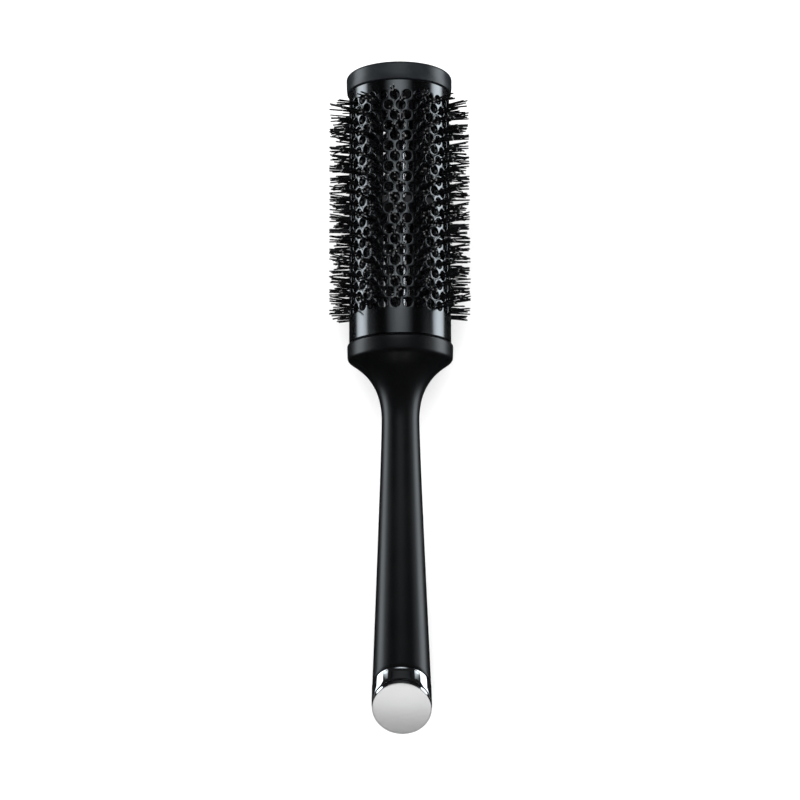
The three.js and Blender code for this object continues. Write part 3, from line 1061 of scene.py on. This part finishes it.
def card_mesh(name, corners, columns, rows, fade, tint):
    """A grid of corners(u, v), in the brush's axes, with its glow as a colour at each point."""
    shares = [(i / columns, j / rows) for i in range(columns + 1) for j in range(rows + 1)]
    faces = []
    for i in range(columns):
        for j in range(rows):
            corner = i * (rows + 1) + j
            faces.append((corner, corner + 1, corner + rows + 2, corner + rows + 1))
    mesh = bpy.data.meshes.new(name)
    mesh.from_pydata([corners(u, v) for u, v in shares], [], faces)
    mesh.transform(BRUSH)
    glow = mesh.color_attributes.new("glow", "FLOAT_COLOR", "POINT")
    for point, (u, v) in zip(glow.data, shares):
        point.color = (*(fade(u, v) * part for part in tint), 1.0)
    return mesh


def build_card(name, corners, columns, rows, strength, fade, tint=COOL):
    """A glowing card that only reflections see."""
    mesh = card_mesh(name, corners, columns, rows, fade, tint)
    material = bpy.data.materials.new(name)
    material.use_nodes = True
    tree = material.node_tree
    attribute = tree.nodes.new("ShaderNodeAttribute")
    attribute.attribute_name = "glow"
    glow = tree.nodes.new("ShaderNodeEmission")
    glow.inputs["Strength"].default_value = strength
    tree.links.new(attribute.outputs["Color"], glow.inputs["Color"])
    tree.links.new(glow.outputs["Emission"], tree.nodes["Material Output"].inputs["Surface"])
    material.cycles.emission_sampling = "NONE"
    mesh.materials.append(material)
    card = bpy.data.objects.new(name, mesh)
    bpy.context.scene.collection.objects.link(card)
    card.visible_camera = False
    card.visible_diffuse = False
    card.visible_shadow = False


def bent_card(first_angle, last_angle, distance, first_y, last_y):
    """Corners of a card bent round the brush between two angles, given in degrees."""
    def corners(u, v):
        angle = math.radians(first_angle + (last_angle - first_angle) * u)
        return around(distance, first_y + (last_y - first_y) * v, angle)
    return corners


def facing_badge(u, v):
    x = -BADGE_CARD_WIDTH / 2 + BADGE_CARD_WIDTH * u
    return Vector((x, BADGE_CARD_Y, BADGE_CARD_LOW + BADGE_CARD_HEIGHT * v)) * MM


def even(_, __):
    return 1.0


def soft_edges(u, _):
    return math.sin(math.pi * u) ** 0.5


def bright_middle(u, _):
    return math.sin(math.pi * u) ** 1.6


def soft_start(u, v):
    """Soft at both sides and towards the tip, so that the flare under the collar stays dark."""
    return soft_edges(u, v) * min(1.0, v / 0.25)


# Name, first and last angle, distance, first and last y, steps along y, strength and fade.
BENT_CARDS = (
    ("card_right", (80, 119), 1500, (-550, 1300), 20, 3.7, soft_start),
    ("card_grip_right", (54, 82), 1500, (70, 255), 12, 1.2, soft_start),
    ("card_left", (-76, -114), 1500, (-550, 1300), 20, 3.35, soft_start),
    ("card_grip_left", (-54, -82), 1500, (70, 255), 12, 1.2, soft_start),
    ("card_barrel", (-32, 32), 1800, (400, 1000), 2, 1.0, bright_middle),
    ("card_far", (-45, 45), 1800, (1100, 2600), 2, 0.8, bright_middle),
    ("card_ferrule", (-40, 40), 1700, (-400, 200), 2, 0.03, soft_edges),
)


def build_cards():
    for name, angles, distance, span, rows, strength, fade in BENT_CARDS:
        corners = bent_card(*angles, distance, *span)
        build_card(name, corners, CARD_COLUMNS, rows, strength, fade)
    steps = BADGE_CARD_STEPS
    build_card("card_badge", facing_badge, steps, steps, BADGE_CARD_STRENGTH, even, WHITE)


def build_lamp():
    """A soft lamp overhead, for the faint shadow round the brush."""
    data = bpy.data.lights.new("soft_top", "AREA")
    data.shape = "RECTANGLE"
    data.size = data.size_y = LAMP_SIZE
    data.energy = LAMP_POWER
    lamp = bpy.data.objects.new("soft_top", data)
    lamp.location = LAMP_POSITION
    lamp.rotation_euler = (-Vector(LAMP_POSITION)).to_track_quat("-Z", "Y").to_euler()
    lamp.visible_glossy = False
    bpy.context.scene.collection.objects.link(lamp)


def build_world():
    """White for the floor and for diffuse light, nearly black for reflections."""
    world = bpy.data.worlds.new("studio")
    world.use_nodes = True
    nodes, links = world.node_tree.nodes, world.node_tree.links
    bright = nodes["Background"]
    bright.inputs["Color"].default_value = (*WHITE, 1.0)
    bright.inputs["Strength"].default_value = WORLD_STRENGTH
    dark = nodes.new("ShaderNodeBackground")
    dark.inputs["Color"].default_value = (*DARK, 1.0)
    path = nodes.new("ShaderNodeLightPath")
    mix = nodes.new("ShaderNodeMixShader")
    links.new(path.outputs["Is Glossy Ray"], mix.inputs["Fac"])
    links.new(bright.outputs["Background"], mix.inputs[1])
    links.new(dark.outputs["Background"], mix.inputs[2])
    links.new(mix.outputs["Shader"], nodes["World Output"].inputs["Surface"])
    bpy.context.scene.world = world


def build_camera():
    data = bpy.data.cameras.new("camera")
    data.lens = CAMERA_LENS
    camera = bpy.data.objects.new("camera", data)
    bpy.context.scene.collection.objects.link(camera)
    turn = Matrix.Rotation(CAMERA_TURN, 4, "Y")
    lean = Matrix.Rotation(CAMERA_PITCH, 4, "X")
    roll = Matrix.Rotation(-CAMERA_ROLL, 4, "Z")
    place = Matrix.Translation(Vector((CAMERA_X, CAMERA_Y, CAMERA_DISTANCE)) * MM)
    camera.matrix_world = BRUSH @ turn @ place @ lean @ roll
    bpy.context.scene.camera = camera


def build_all():
    build_barrel()
    for strip in range(STRIPS):
        build_strip(strip)
    build_end_cap()
    build_grille()
    build_washer()
    build_nut()
    build_rod()
    build_sleeve()
    build_ferrule()
    build_badge()
    finish_carried_nodes()
    build_floor()
    build_world()
    build_lamp()
    build_cards()
    build_camera()
    bpy.context.scene.view_settings.view_transform = "Standard"


build_all()
